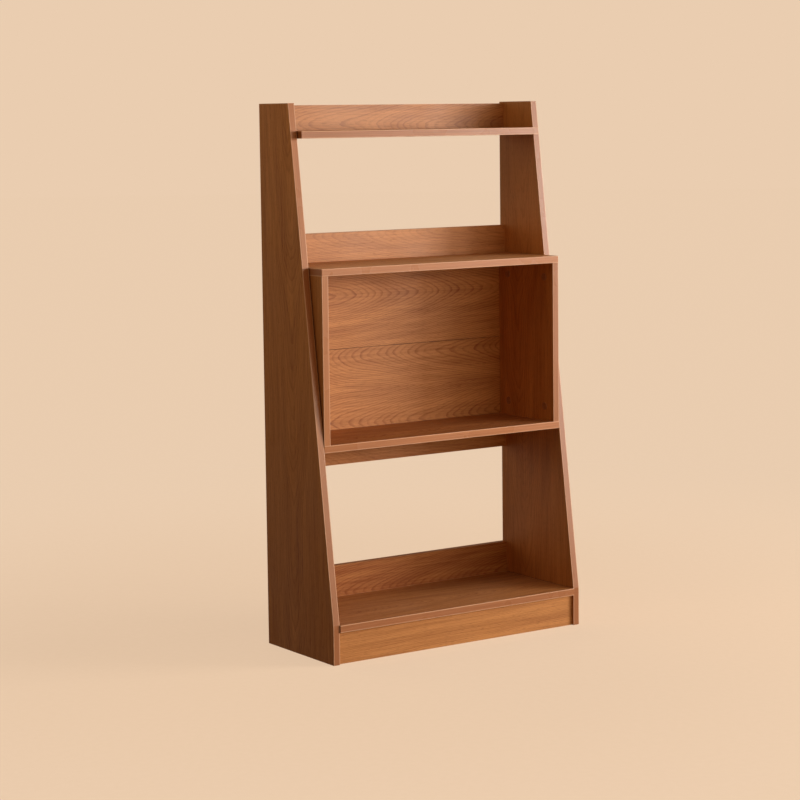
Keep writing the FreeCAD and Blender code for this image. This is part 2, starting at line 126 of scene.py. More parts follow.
# Boards whose arrises sit tight against others, so that dark joints show there instead of wear
TIGHT_BOARDS = ("box_upper_back", "box_lower_back", "box_bottom_board", "bottom_shelf", "top_shelf")
# Boards that stand proud of the slanted panel edges, with a dark joint and painted shade along that edge
PROUD_BOARDS = ("box_left_wall", "box_right_wall", "box_top_board", "box_bottom_board",
                "top_shelf", "bottom_shelf")

# Boards whose ends come out past the panel edges and are banded there like the fronts
BANDED_ENDS = ("top_shelf", "box_top_board", "box_bottom_board", "bottom_shelf")

# Edge bands: the axis that runs across each one, and how much darker it is than the rest. The darkness
# is partly painted light and shade: lighter on the box's left, top and bottom bands, darker on the right
# panel's front band and the box's right band.
Band = namedtuple("Band", "across darkness")

BANDS = {
    "left_panel_front_band": Band("X", 0.05),
    "right_panel_front_band": Band("X", 0.65),
    "left_panel_top_band": Band("X", 0.175),
    "right_panel_top_band": Band("X", 0.175),
    "box_left_wall_band": Band("X", -0.35),
    "box_right_wall_band": Band("X", 0.4),
    "top_shelf_band": Band("Z", 0.375),
    "box_top_band": Band("Z", -0.25),
    "box_bottom_band": Band("Z", -0.25),
    "bottom_shelf_band": Band("Z", 0.325),
}

# Pieces that stand on the floor and get darker towards it
STANDING_PIECES = ("left_side_panel", "right_side_panel",
                   "left_panel_front_band", "right_panel_front_band")

# Cams that show, and the way that their faces look
CAM_FACES = {
    "top_shelf_cams": DOWN,
    "box_board_cams": DOWN,
    "bottom_shelf_cams": DOWN,
    "top_rail_cams": BACKWARDS,
    "mid_rail_cams": BACKWARDS,
    "under_rail_cams": BACKWARDS,
    "base_rail_cams": BACKWARDS,
    "box_back_cams": BACKWARDS,
    "plinth_cams": BACKWARDS,
}
HIDDEN_CAMS = "box_wall_cams"
COVERS = "box_wall_cam_covers"


# Colours and shader nodes

def paint(code):
    """A colour written as on screen, as the linear values that the shaders take, by the sRGB curve."""
    channels = [int(code[start:start + 2], 16) / 255 for start in (1, 3, 5)]
    linear = [c / 12.92 if c <= 0.04045 else ((c + 0.055) / 1.055) ** 2.4 for c in channels]
    return (*linear, 1.0)


def feed(tree, socket, source):
    """Links a socket to a source, or sets it to a plain value."""
    if isinstance(source, bpy.types.NodeSocket):
        tree.links.new(source, socket)
    else:
        socket.default_value = source


def calc(tree, operation, *sources):
    """One step of arithmetic on sockets or numbers."""
    node = tree.nodes.new("ShaderNodeMath")
    node.operation = operation
    for socket, source in zip(node.inputs, sources):
        feed(tree, socket, source)
    return node.outputs[0]


def calc_vector(tree, operation, *sources):
    """One step of arithmetic on vectors."""
    node = tree.nodes.new("ShaderNodeVectorMath")
    node.operation = operation
    for socket, source in zip(node.inputs, sources):
        feed(tree, socket, source)
    return node.outputs[0]


def split(tree, vector):
    """The three parts of a vector, by the names of their axes."""
    node = tree.nodes.new("ShaderNodeSeparateXYZ")
    feed(tree, node.inputs[0], vector)
    return dict(zip("XYZ", node.outputs))


def join(tree, *parts):
    """A vector of three parts."""
    node = tree.nodes.new("ShaderNodeCombineXYZ")
    for socket, part in zip(node.inputs, parts):
        feed(tree, socket, part)
    return node.outputs[0]


# How many layers of finer noise lie over the first one
NO_DETAIL = 0.0
SOFT_DETAIL = 1.0
PLAIN_DETAIL = 2.0
FINE_DETAIL = 3.0
FINEST_DETAIL = 4.0


def noise(tree, point, waves, seed=0.0, detail=PLAIN_DETAIL):
    """Noise from 0 to 1, with that many waves per metre along each axis."""
    node = tree.nodes.new("ShaderNodeTexNoise")
    node.noise_dimensions = "4D"
    feed(tree, node.inputs["Vector"], calc_vector(tree, "MULTIPLY", point, waves))
    feed(tree, node.inputs["W"], seed)
    node.inputs["Scale"].default_value = 1.0
    node.inputs["Detail"].default_value = detail
    return node.outputs[0]


def even_waves(count):
    """The same number of waves per metre along each axis."""
    return (count, count, count)


def remap(tree, value, low, high, to_low=0.0, to_high=1.0):
    """Maps low to high onto another range, held at its ends, with a soft start and stop."""
    node = tree.nodes.new("ShaderNodeMapRange")
    node.interpolation_type = "SMOOTHSTEP"
    for socket, source in zip(node.inputs, (value, low, high, to_low, to_high)):
        feed(tree, socket, source)
    return node.outputs[0]


# Noise lies mostly between these two values, about this middle
NOISE_LOW = 0.3
NOISE_HIGH = 0.7
NOISE_MIDDLE = 0.5


def spread(tree, value, to_low=0.0, to_high=1.0):
    """Stretches noise over a range."""
    return remap(tree, value, NOISE_LOW, NOISE_HIGH, to_low, to_high)


def centred(tree, value):
    """Noise moved to lie about zero."""
    return calc(tree, "SUBTRACT", value, NOISE_MIDDLE)


# The Mix node's sockets for colours, which share their names with those for other kinds
MIX_FIRST = 6
MIX_SECOND = 7
MIX_RESULT = 2


def mix(tree, share, first, second):
    """Mixes two colours, each a socket or a colour code."""
    node = tree.nodes.new("ShaderNodeMix")
    node.data_type = "RGBA"
    feed(tree, node.inputs[0], share)
    for place, colour in ((MIX_FIRST, first), (MIX_SECOND, second)):
        feed(tree, node.inputs[place], paint(colour) if isinstance(colour, str) else colour)
    return node.outputs[MIX_RESULT]


def blend(tree, share, first, second):
    """Blends two shaders."""
    node = tree.nodes.new("ShaderNodeMixShader")
    for socket, source in zip(node.inputs, (share, first, second)):
        feed(tree, socket, source)
    return node.outputs[0]


def new_group(name, inputs, outputs):
    """An empty shader node group. Inputs and outputs give each socket's name and kind."""
    tree = bpy.data.node_groups.new(name, "ShaderNodeTree")
    for label, kind in inputs.items():
        tree.interface.new_socket(label, in_out="INPUT", socket_type=f"NodeSocket{kind}")
    for label, kind in outputs.items():
        tree.interface.new_socket(label, in_out="OUTPUT", socket_type=f"NodeSocket{kind}")
    given = tree.nodes.new("NodeGroupInput").outputs
    out = tree.nodes.new("NodeGroupOutput").inputs
    return tree, given, out


def place_group(tree, group, **sources):
    """Puts a group into a material. Underscores in the names stand for spaces."""
    node = tree.nodes.new("ShaderNodeGroup")
    node.node_tree = group
    for label, source in sources.items():
        feed(tree, node.inputs[label.replace("_", " ")], source)
    return node.outputs


def new_material(name):
    """A material with a bare Principled shader, and its object coordinates."""
    material = bpy.data.materials.new(name)
    material.use_nodes = True
    tree = material.node_tree
    shader = tree.nodes["Principled BSDF"]
    point = tree.nodes.new("ShaderNodeTexCoord").outputs["Object"]
    return material, tree, shader, point


def face_way(tree):
    """The way that the face looks, in the object's own axes."""
    return tree.nodes.new("ShaderNodeTexCoord").outputs["Normal"]


def add_bump(tree, shader, height, depth, strength):
    """Gives a shader's surface a fine relief."""
    bump = tree.nodes.new("ShaderNodeBump")
    bump.inputs["Strength"].default_value = strength
    bump.inputs["Distance"].default_value = depth
    feed(tree, bump.inputs["Height"], height)
    tree.links.new(bump.outputs[0], shader.inputs["Normal"])


# Growth rings of oak

# Waves per metre along the grain, across it and through the board
BOW_WAVES = (2.0, 1.0, 1.0)
SWAY_WAVES = (3.0, 4.0, 4.0)
RIPPLE_WAVES = (30.0, 120.0, 120.0)
# Waves per ring, for years that differ and for runs of denser years
YEAR_WAVES = (0.73, 1.0, 1.0)
GROWTH_WAVES = (0.23, 1.0, 1.0)
RING_WIDTH = 2.6 * MM
HEART_WANDER = 30.0 * MM
# Arches turn from round to pointed as this falls from 2 to 1
ARCH_POINT = 1.5
ARCH_TIP = 4.0 * MM
RIPPLE_RINGS = 0.7
# Shares of a year at which its late wood starts, is at its darkest, and begins to end
LATE_START = 0.45
LATE_DARKEST = 0.88
LATE_ENDING = 0.92
FAINTEST_YEAR = 0.35


def beside_heart(tree, given, across):
    """How far a point lies beside the nearest heart. Never quite zero, so that arches have a soft tip."""
    bow = centred(tree, noise(tree, given["Board Point"], BOW_WAVES, given["Seed"], SOFT_DETAIL))
    offset = calc(tree, "SUBTRACT", across, given["Heart"])
    offset = calc(tree, "MULTIPLY_ADD", bow, HEART_WANDER, offset)
    half_plank = calc(tree, "MULTIPLY", given["Plank"], 0.5)
    aside = calc(tree, "WRAP", offset, half_plank, calc(tree, "MULTIPLY", half_plank, -1.0))
    return calc(tree, "SQRT", calc(tree, "MULTIPLY_ADD", aside, aside, ARCH_TIP ** 2))


def above_heart(tree, given, along, through):
    """How far the cut runs above the heart, which leans along the board."""
    sway = centred(tree, noise(tree, given["Board Point"], SWAY_WAVES, given["Seed"], SOFT_DETAIL))
    depth = calc(tree, "MULTIPLY_ADD", along, given["Lean"], given["Nearness"])
    depth = calc(tree, "ADD", depth, through)
    return calc(tree, "ABSOLUTE", calc(tree, "MULTIPLY_ADD", sway, HEART_WANDER, depth))


def ring_age(tree, given):
    """The tree's age at a point, in rings from the heart."""
    along, across, through = split(tree, given["Board Point"]).values()
    ways = (beside_heart(tree, given, across), above_heart(tree, given, along, through))
    powers = [calc(tree, "POWER", way, ARCH_POINT) for way in ways]
    reach = calc(tree, "POWER", calc(tree, "ADD", *powers), 1 / ARCH_POINT)
    ripple = centred(tree, noise(tree, given["Board Point"], RIPPLE_WAVES, given["Seed"]))
    return calc(tree, "MULTIPLY_ADD", ripple, RIPPLE_RINGS, calc(tree, "DIVIDE", reach, RING_WIDTH))


def oak_rings_group():
    """Rings of a trunk as a flat cut shows them: pointed arches along the heart, lines beside it."""
    inputs = {"Board Point": "Vector", "Heart": "Float", "Plank": "Float", "Nearness": "Float",
              "Lean": "Float", "Seed": "Float"}
    tree, given, out = new_group("oak_rings", inputs, {"Late Wood": "Float", "Growth": "Float"})
    age = ring_age(tree, given)
    season = calc(tree, "FRACT", age)
    rise = remap(tree, season, LATE_START, LATE_DARKEST)
    fall = remap(tree, season, LATE_ENDING, 1.0, 1.0, 0.0)
    year = join(tree, calc(tree, "FLOOR", age), 0.0, 0.0)
    vigour = noise(tree, year, YEAR_WAVES, given["Seed"], NO_DETAIL)
    strength = spread(tree, vigour, FAINTEST_YEAR, 1.0)
    line = calc(tree, "MULTIPLY", rise, fall)
    feed(tree, out["Late Wood"], calc(tree, "MULTIPLY", line, strength))
    years = join(tree, age, 0.0, 0.0)
    feed(tree, out["Growth"], noise(tree, years, GROWTH_WAVES, given["Seed"], SOFT_DETAIL))
    return tree


# Fibres and tone of oak

STRIPE_WAVES = (1.6, 48.0, 48.0)
STREAK_WAVES = (7.0, 260.0, 260.0)
PORE_WAVES = (70.0, 1100.0, 1100.0)
PORE_EDGE = 0.56
PORE_FLOOR = 0.68
# How much each of these lightens and darkens the sheet
TONE_RANGES = {"Streak": (0.0, 0.3), "Stripe": (-0.1, 0.12), "Growth": (-0.06, 0.16)}
# How deep late wood lies, against a pore
LATE_WOOD_DEPTH = 0.4


def oak_fibres_group():
    """Broad stripes, fine lengthwise streaks and the short dark pores of oak."""
    inputs = {"Board Point": "Vector", "Seed": "Float"}
    outputs = {"Stripe": "Float", "Streak": "Float", "Pore": "Float"}
    tree, given, out = new_group("oak_fibres", inputs, outputs)
    point, seed = given["Board Point"], given["Seed"]
    feed(tree, out["Stripe"], noise(tree, point, STRIPE_WAVES, seed, SOFT_DETAIL))
    feed(tree, out["Streak"], noise(tree, point, STREAK_WAVES, seed, FINE_DETAIL))
    dashes = noise(tree, point, PORE_WAVES, seed)
    feed(tree, out["Pore"], remap(tree, dashes, PORE_EDGE, PORE_FLOOR))
    return tree


def oak_sheet_group():
    """Tone and relief of a sheet of oak, added up from its rings and fibres."""
    labels = ("Late Wood", "Growth", "Stripe", "Streak", "Pore", "Figure", "Sheet Tone")
    inputs = {label: "Float" for label in labels}
    tree, given, out = new_group("oak_sheet", inputs, {"Tone": "Float", "Relief": "Float"})
    late = calc(tree, "MULTIPLY", given["Late Wood"], given["Figure"])
    tone = calc(tree, "ADD", late, given["Sheet Tone"])
    for label, (lightest, darkest) in TONE_RANGES.items():
        tone = calc(tree, "ADD", tone, spread(tree, given[label], lightest, darkest))
    feed(tree, out["Tone"], tone)
    hollow = calc(tree, "MULTIPLY_ADD", late, LATE_WOOD_DEPTH, given["Pore"])
    feed(tree, out["Relief"], calc(tree, "MULTIPLY", hollow, -1.0))
    return tree


# Edges of boards and bands

ARRIS_PATCH_WAVES = even_waves(30.0)
ARRIS_NARROWEST = 0.5
ARRIS_WIDEST = 1.4
BAND_ARRIS_FULL = 0.8 * MM
BAND_ARRIS_END = 2.4 * MM
BAND_ARRIS_SHARE = 0.7

# Slanted front edge of the side panels, from the bottom shelf up to the top bands
EDGE_FOOT_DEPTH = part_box("left_panel_front_band")[0].y
EDGE_FOOT_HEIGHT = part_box("bottom_shelf")[1].z
EDGE_TOP_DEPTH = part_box("left_panel_top_band")[0].y
EDGE_TOP_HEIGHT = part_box("left_panel_top_band")[0].z
PANEL_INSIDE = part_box("right_side_panel")[0].x
BOARD_END = 2.0 * MM
# How far the painted shade reaches in front of the panel edges
JOINT_SHADE_REACH = 10.0 * MM


def board_arris_group():
    """Patchy strip along the arrises of a board, given its lowest and highest corner."""
    inputs = {"Point": "Vector", "Low": "Vector", "High": "Vector", "Width": "Float"}
    tree, given, out = new_group("board_arris", inputs, {"Arris": "Float"})
    from_low = calc_vector(tree, "SUBTRACT", given["Point"], given["Low"])
    from_high = calc_vector(tree, "SUBTRACT", given["High"], given["Point"])
    x, y, z = split(tree, calc_vector(tree, "MINIMUM", from_low, from_high)).values()
    nearer = calc(tree, "MINIMUM", x, y)
    farther = calc(tree, "MAXIMUM", x, y)
    from_arris = calc(tree, "MINIMUM", farther, calc(tree, "MAXIMUM", nearer, z))
    patches = noise(tree, given["Point"], ARRIS_PATCH_WAVES, detail=FINE_DETAIL)
    wear = spread(tree, patches, ARRIS_NARROWEST, ARRIS_WIDEST)
    reach = calc(tree, "MULTIPLY", given["Width"], wear)
    feed(tree, out["Arris"], remap(tree, from_arris, 0.0, reach, 1.0, 0.0))
    return tree


def band_arris_group():
    """Strip along both sides of a band, given a place across the band and where its sides are."""
    inputs = {"Place": "Float", "Low": "Float", "High": "Float"}
    tree, given, out = new_group("band_arris", inputs, {"Arris": "Float"})
    from_low = calc(tree, "SUBTRACT", given["Place"], given["Low"])
    from_high = calc(tree, "SUBTRACT", given["High"], given["Place"])
    from_side = calc(tree, "MINIMUM", from_low, from_high)
    feed(tree, out["Arris"], remap(tree, from_side, BAND_ARRIS_FULL, BAND_ARRIS_END, 1.0, 0.0))
    return tree


def panel_joint_shade_group():
    """End of a board that comes out past a panel, and the joint with painted shade right in front of the
    panel's edge.
    """
    outputs = {"Joint": "Float", "End": "Float"}
    tree, given, out = new_group("panel_joint_shade", {"Point": "Vector"}, outputs)
    x, y, z = split(tree, given["Point"]).values()
    slope = (EDGE_TOP_DEPTH - EDGE_FOOT_DEPTH) / (EDGE_TOP_HEIGHT - EDGE_FOOT_HEIGHT)
    climb = calc(tree, "SUBTRACT", z, EDGE_FOOT_HEIGHT)
    edge = calc(tree, "MULTIPLY_ADD", climb, slope, EDGE_FOOT_DEPTH)
    # Painted shade in the corner in front of the panel edge, fading out over its reach
    near = remap(tree, calc(tree, "SUBTRACT", edge, y), 0.0, JOINT_SHADE_REACH, 1.0, 0.0)
    at_end = calc(tree, "GREATER_THAN", calc(tree, "ABSOLUTE", x), PANEL_INSIDE - BOARD_END)
    feed(tree, out["Joint"], calc(tree, "MULTIPLY", near, at_end))
    feed(tree, out["End"], at_end)
    return tree


# Strips, shade and gloss

BLOTCH_WAVES = even_waves(18.0)
BLOTCH_SEED = 5.0
BLOTCH_SHARE = 0.15
BAND_GRAIN_SHARE = 0.7
FOOT_SHADE_TOP = 0.8
HANDLING_WAVES = (7.0, 7.0, 5.0)
DUST_WAVES = even_waves(9.0)
DUST_SEED = 3.0
THINNEST_DUST = 0.7
# How level a face has to be for dust to begin to lie on it, and to lie on it fully
DUST_BEGINS = 0.6
DUST_LIES = 0.95


def band_strip_group():
    """Lengthwise grain of an edge band, and its tone with faint blotches."""
    inputs = {"Point": "Vector", "Waves": "Vector", "Darkness": "Float"}
    tree, given, out = new_group("band_strip", inputs, {"Grain": "Float", "Tone": "Float"})
    grain = noise(tree, given["Point"], given["Waves"], detail=FINE_DETAIL)
    blotch = noise(tree, given["Point"], BLOTCH_WAVES, BLOTCH_SEED)
    tone = calc(tree, "ADD", given["Darkness"], spread(tree, grain, 0.0, BAND_GRAIN_SHARE))
    feed(tree, out["Grain"], grain)
    feed(tree, out["Tone"], calc(tree, "MULTIPLY_ADD", blotch, BLOTCH_SHARE, tone))
    return tree


def foot_shade_group():
    """Shade that deepens towards the floor."""
    inputs = {"Point": "Vector", "Depth": "Float"}
    tree, given, out = new_group("foot_shade", inputs, {"Shade": "Float"})
    height = split(tree, given["Point"])["Z"]
    feed(tree, out["Shade"], remap(tree, height, 0.0, FOOT_SHADE_TOP, given["Depth"], 0.0))
    return tree


def satin_group():
    """Roughness of a satin skin: patches dulled by hands and cloths, and thin dust on level faces."""
    inputs = {"Point": "Vector", "Face": "Vector", "Polished": "Float", "Dulled": "Float",
              "Dusted": "Float"}
    tree, given, out = new_group("satin", inputs, {"Roughness": "Float"})
    handled = noise(tree, given["Point"], HANDLING_WAVES, detail=FINEST_DETAIL)
    roughness = spread(tree, handled, given["Polished"], given["Dulled"])
    level = remap(tree, split(tree, given["Face"])["Z"], DUST_BEGINS, DUST_LIES)
    patches = noise(tree, given["Point"], DUST_WAVES, DUST_SEED, FINE_DETAIL)
    dust = calc(tree, "MULTIPLY", level, spread(tree, patches, THINNEST_DUST, 1.0))
    feed(tree, out["Roughness"], calc(tree, "MULTIPLY_ADD", dust, given["Dusted"], roughness))
    return tree


OAK_RINGS = oak_rings_group()
OAK_FIBRES = oak_fibres_group()
OAK_SHEET = oak_sheet_group()
BOARD_ARRIS = board_arris_group()
BAND_ARRIS = band_arris_group()
PANEL_JOINT_SHADE = panel_joint_shade_group()
BAND_STRIP = band_strip_group()
FOOT_SHADE = foot_shade_group()
SATIN = satin_group()


# Oak facing

LATE_WOOD_SHARE = 0.58
PORE_SHARE = 0.36
# Strength of the painted shade and dark joint at the panel edges
JOINT_SHADE_SHARE = 0.9
OAK_FOOT_SHADE = 0.26
OAK_POLISHED = 0.42
OAK_DULLED = 0.54
OAK_DUSTED = 0.2
PORE_DULLED = 0.15
OAK_RELIEF = 0.12 * MM
OAK_RELIEF_STRENGTH = 0.5

Arris = namedtuple("Arris", "width share colour")
WORN_ARRIS = Arris(1.6 * MM, 0.3, OAK_WORN)
TIGHT_ARRIS = Arris(0.9 * MM, 0.7, OAK_SEAM_AND_SHADE)


def shade_foot(tree, point, tone, depth):
    """Adds the shade near the floor to a tone."""
    shade = place_group(tree, FOOT_SHADE, Point=point, Depth=depth)["Shade"]
    return calc(tree, "ADD", tone, shade)


def banded_end(tree, name, point):
    """Colour of the band on the end of a level board, with pale arrises, partly wear and partly painted
    highlight.
    """
    low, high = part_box(name)
    height = split(tree, point)["Z"]
    arris = place_group(tree, BAND_ARRIS, Place=height, Low=low.z, High=high.z)["Arris"]
    return mix(tree, calc(tree, "MULTIPLY", arris, BAND_ARRIS_SHARE), BAND_DARK, BAND_WEAR_AND_HIGHLIGHT)


def oak_edges(tree, name, point, colour):
    """Worn or tight arrises round a board, and its end and joint, with painted shade, where it passes a
    panel's edge.
    """
    low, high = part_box(name)
    arris = TIGHT_ARRIS if name in TIGHT_BOARDS else WORN_ARRIS
    strip = place_group(tree, BOARD_ARRIS, Point=point, Low=low, High=high, Width=arris.width)
    colour = mix(tree, calc(tree, "MULTIPLY", strip["Arris"], arris.share), colour, arris.colour)
    if name in PROUD_BOARDS:
        past_panel = place_group(tree, PANEL_JOINT_SHADE, Point=point)
        if name in BANDED_ENDS:
            colour = mix(tree, past_panel["End"], colour, banded_end(tree, name, point))
        # Painted shade with a dark joint in front of the panel edge
        joint_shade = calc(tree, "MULTIPLY", past_panel["Joint"], JOINT_SHADE_SHARE)
        colour = mix(tree, joint_shade, colour, OAK_SEAM_AND_SHADE)
    return colour


def oak_facing(name, oak):
    """Oak facing of one board, with its grain along the board."""
    material, tree, shader, point = new_material(f"{name}_oak")
    axes = split(tree, point)
    board_point = join(tree, *[axes[axis] for axis in oak.grain])
    rings = place_group(tree, OAK_RINGS, Board_Point=board_point, Heart=oak.heart, Plank=oak.plank,
                        Nearness=oak.nearness, Lean=oak.lean, Seed=oak.seed)
    fibres = place_group(tree, OAK_FIBRES, Board_Point=board_point, Seed=oak.seed)
    sheet = place_group(tree, OAK_SHEET, Late_Wood=rings["Late Wood"], Growth=rings["Growth"],
                        Stripe=fibres["Stripe"], Streak=fibres["Streak"], Pore=fibres["Pore"],
                        Figure=LATE_WOOD_SHARE * oak.figure, Sheet_Tone=oak.tone)
    tone = sheet["Tone"]
    if name in STANDING_PIECES:
        tone = shade_foot(tree, point, tone, OAK_FOOT_SHADE)
    colour = mix(tree, tone, OAK_PALE, OAK_DARK)
    colour = mix(tree, calc(tree, "MULTIPLY", fibres["Pore"], PORE_SHARE), colour, OAK_PORE)
    feed(tree, shader.inputs["Base Color"], oak_edges(tree, name, point, colour))
    gloss = place_group(tree, SATIN, Point=point, Face=face_way(tree), Polished=OAK_POLISHED,
                        Dulled=OAK_DULLED, Dusted=OAK_DUSTED)
    roughness = calc(tree, "MULTIPLY_ADD", fibres["Pore"], PORE_DULLED, gloss["Roughness"])
    feed(tree, shader.inputs["Roughness"], roughness)
    add_bump(tree, shader, sheet["Relief"], OAK_RELIEF, OAK_RELIEF_STRENGTH)
    shader.inputs["Specular IOR Level"].default_value = oak.sheen
    return material


# Edge bands

# Waves per metre on a band that is narrow along this axis
BAND_WAVES = {"X": (420.0, 6.0, 6.0), "Z": (6.0, 6.0, 420.0)}
BAND_FOOT_SHADE = 0.7
BAND_POLISHED = 0.24
BAND_DULLED = 0.34
BAND_DUSTED = 0.3
BAND_RELIEF = 0.05 * MM
BAND_RELIEF_STRENGTH = 0.4
BAND_SHEEN = 0.34


def band_facing(name, band):
    """Edge band: a plain strip with faint lengthwise grain and pale arrises, partly wear and partly
    painted highlight.
    """
    material, tree, shader, point = new_material(f"{name}_facing")
    strip = place_group(tree, BAND_STRIP, Point=point, Waves=BAND_WAVES[band.across],
                        Darkness=band.darkness)
    tone = strip["Tone"]
    if name in STANDING_PIECES:
        tone = shade_foot(tree, point, tone, BAND_FOOT_SHADE)
    low, high = [corner["XYZ".index(band.across)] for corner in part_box(name)]
    place = split(tree, point)[band.across]
    arris = place_group(tree, BAND_ARRIS, Place=place, Low=low, High=high)["Arris"]
    # Pale arrises: partly wear, partly painted highlight
    wear_and_highlight = calc(tree, "MULTIPLY", arris, BAND_ARRIS_SHARE)
    colour = mix(tree, wear_and_highlight, mix(tree, tone, BAND_PALE, BAND_DARK), BAND_WEAR_AND_HIGHLIGHT)
    feed(tree, shader.inputs["Base Color"], colour)
    gloss = place_group(tree, SATIN, Point=point, Face=face_way(tree), Polished=BAND_POLISHED,
                        Dulled=BAND_DULLED, Dusted=BAND_DUSTED)
    feed(tree, shader.inputs["Roughness"], gloss["Roughness"])
    add_bump(tree, shader, strip["Grain"], BAND_RELIEF, BAND_RELIEF_STRENGTH)
    shader.inputs["Specular IOR Level"].default_value = BAND_SHEEN
    return material


# Finishes of the fittings

ZINC_GRAIN_WAVES = even_waves(900.0)
ZINC_ROUGHNESS = (0.38, 0.6)
ZINC_GRAIN_DEPTH = 0.08 * MM
STEEL_TURNING_WAVES = (1500.0, 300.0, 300.0)
STEEL_ROUGHNESS = (0.25, 0.42)
BEECH_FLECK_WAVES = (90.0, 700.0, 700.0)
BEECH_ROUGHNESS = (0.6, 0.75)
BEECH_FLECK_DEPTH = 0.1 * MM
COVER_SKIN_WAVES = even_waves(1400.0)
COVER_ROUGHNESS = (0.34, 0.48)
COVER_SKIN_DEPTH = 0.04 * MM
FITTING_RELIEF_STRENGTH = 0.4


def cast_zinc():
    """Die-cast cam: grey zinc, dull and slightly grainy."""
    material, tree, shader, point = new_material("cast_zinc")
    grain = noise(tree, point, ZINC_GRAIN_WAVES, detail=FINE_DETAIL)
    feed(tree, shader.inputs["Base Color"], mix(tree, spread(tree, grain), ZINC_PALE, ZINC_DARK))
    feed(tree, shader.inputs["Roughness"], spread(tree, grain, *ZINC_ROUGHNESS))
    add_bump(tree, shader, grain, ZINC_GRAIN_DEPTH, FITTING_RELIEF_STRENGTH)
    shader.inputs["Metallic"].default_value = 1.0
    return material


def plated_steel():
    """Cam bolt: turned steel with a yellowish plating."""
    material, tree, shader, point = new_material("plated_steel")
    turning = noise(tree, point, STEEL_TURNING_WAVES)
    feed(tree, shader.inputs["Base Color"], mix(tree, turning, STEEL_PALE, STEEL_DARK))
    feed(tree, shader.inputs["Roughness"], spread(tree, turning, *STEEL_ROUGHNESS))
    shader.inputs["Metallic"].default_value = 1.0
    return material


def bare_beech():
    """Dowel: bare beech with fine flecks."""
    material, tree, shader, point = new_material("bare_beech")
    fleck = noise(tree, point, BEECH_FLECK_WAVES, detail=FINE_DETAIL)
    feed(tree, shader.inputs["Base Color"], mix(tree, fleck, BEECH_PALE, BEECH_DARK))
    feed(tree, shader.inputs["Roughness"], spread(tree, fleck, *BEECH_ROUGHNESS))
    add_bump(tree, shader, fleck, BEECH_FLECK_DEPTH, FITTING_RELIEF_STRENGTH)
    return material


def moulded_cover():
    """Cam cover: brown moulded plastic with a fine sparked skin."""
    material, tree, shader, point = new_material("moulded_cover")
    skin = noise(tree, point, COVER_SKIN_WAVES)
    feed(tree, shader.inputs["Base Color"], mix(tree, spread(tree, skin), COVER_PALE, COVER_DARK))
    feed(tree, shader.inputs["Roughness"], spread(tree, skin, *COVER_ROUGHNESS))
    add_bump(tree, shader, skin, COVER_SKIN_DEPTH, FITTING_RELIEF_STRENGTH)
    return material


# Places of the fittings

WELD_REACH = 0.001 * MM


def joined_to(first, left):
    """All corners that edges join to the first one. They are taken out of those left."""
    found = [first]
    left.discard(first)
    for vertex in found:
        neighbours = [edge.other_vert(vertex) for edge in vertex.link_edges]
        new = [other for other in neighbours if other in left]
        left.difference_update(new)
        found += new
    return found


def solids_of(node):
    """The corners of each separate solid of a node, as lists of points."""
    mesh = bmesh.new()
    mesh.from_mesh(nodes[node].data)
    bmesh.ops.remove_doubles(mesh, verts=mesh.verts, dist=WELD_REACH)
    left = set(mesh.verts)
    groups = [joined_to(first, left) for first in mesh.verts if first in left]
    solids = [[vertex.co.copy() for vertex in group] for group in groups]
    mesh.free()
    return solids


def box_of(points):
    """Lowest and highest corner of a set of points."""
    low = Vector([min(p[axis] for p in points) for axis in range(3)])
    high = Vector([max(p[axis] for p in points) for axis in range(3)])
    return low, high


def face_middle(points, way):
    """Middle of a solid's box, moved out to its face on the side named by way."""
    low, high = box_of(points)
    half = (high - low) / 2
    return (low + high) / 2 + Vector([way[axis] * half[axis] for axis in range(3)])


def looking(place, way):
    """Stands a piece that was drawn with its face up at a place, with its face looking that way."""
    return Matrix.Translation(place) @ UP.rotation_difference(way).to_matrix().to_4x4()


# Round forms

ROUND_STEPS = 48
SHARP_ANGLE = math.radians(35)


def circle(mesh, radius, level, steps=ROUND_STEPS):
    """A ring of points round the upright axis, at one level."""
    turns = [2 * math.pi * step / steps for step in range(steps)]
    return [mesh.verts.new((radius * math.cos(t), radius * math.sin(t), level)) for t in turns]


def bridge(mesh, lower, upper):
    """Closes the strip between two rings with the same number of points."""
    count = len(lower)
    for step in range(count):
        after = (step + 1) % count
        mesh.faces.new((lower[step], lower[after], upper[after], upper[step]))


def loop_edges(mesh, ring):
    """The edges round a ring, made where they don't exist yet."""
    pairs = zip(ring, ring[1:] + ring[:1])
    return [mesh.edges.get(pair) or mesh.edges.new(pair) for pair in pairs]


def turned(mesh, profile):
    """A turned piece. Its profile runs from the floor, up the side and in to a last ring, left open."""
    rings = [circle(mesh, radius, level) for radius, level in profile]
    mesh.faces.new(list(reversed(rings[0])))
    for lower, upper in zip(rings, rings[1:]):
        bridge(mesh, lower, upper)
    return rings[-1]


# Cam

CAM_RADIUS = 7.2 * MM
CAM_HEIGHT = 12.4 * MM
CAM_RIM = 0.5 * MM
CAM_DISH = 0.5 * MM
DRIVE_LENGTH = 8.0 * MM
DRIVE_CROSS_LENGTH = 6.4 * MM
DRIVE_WIDTH = 2.2 * MM
DRIVE_DEPTH = 2.0 * MM
DRIVE_DRAFT = 0.2 * MM


def drive_outline(mesh, level, inset=0.0):
    """Outline of the cross recess that takes the screwdriver."""
    arm_x = DRIVE_LENGTH / 2 - inset
    arm_y = DRIVE_CROSS_LENGTH / 2 - inset
    half = DRIVE_WIDTH / 2 - inset
    corner = [(arm_x, half), (half, half), (half, arm_y)]
    quarters = [corner,
                [(-x, y) for x, y in reversed(corner)],
                [(-x, -y) for x, y in corner],
                [(x, -y) for x, y in reversed(corner)]]
    return [mesh.verts.new((x, y, level)) for quarter in quarters for x, y in quarter]


